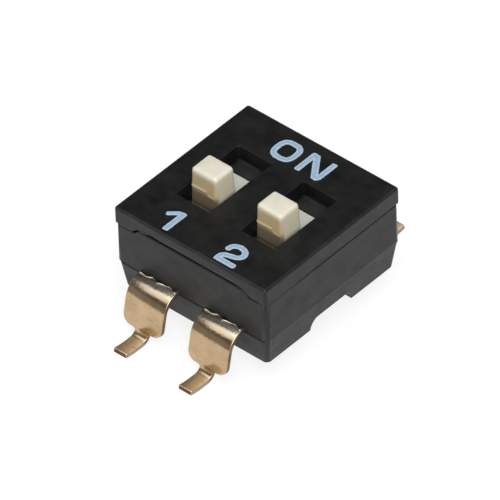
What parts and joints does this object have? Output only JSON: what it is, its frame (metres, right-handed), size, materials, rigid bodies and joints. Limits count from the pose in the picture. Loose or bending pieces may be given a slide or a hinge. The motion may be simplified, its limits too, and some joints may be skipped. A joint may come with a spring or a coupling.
{
  "type": "surface-mount dip switch",
  "caption": "Low black surface-mount slide dip switch with ivory slide knobs in long slots, formed spring contacts and gold gull-wing terminals.",
  "frame": {"origin": "on the board plane, under the middle of the part", "axes": "+X along the row from switch 1 to switch 2, +Y across the row towards the ON side, +Z away from the board"},
  "size_m": [0.006, 0.0096, 0.0045],
  "materials": {
    "housing": "fine matte moulding",
    "actuator": "smooth satin moulding",
    "contact": "gold plated, satin, lightly scratched"
  },
  "bodies": {
    "housing": {"base": "housing", "cover": "housing", "terminal_front_1": "contact", "terminal_front_2": "contact", "terminal_rear_1": "contact", "terminal_rear_2": "contact"},
    "slider_1": {"actuator_1": "actuator", "moving_contact_1": "contact"},
    "slider_2": {"actuator_2": "actuator", "moving_contact_2": "contact"}
  },
  "joints": [
    {"name": "switch_1", "type": "slide", "parent": "housing", "child": "slider_1", "axis": [0, 1, 0], "range_m": [0, 0.00094]},
    {"name": "switch_2", "type": "slide", "parent": "housing", "child": "slider_2", "axis": [0, 1, 0], "range_m": [0, 0.00094]}
  ]
}
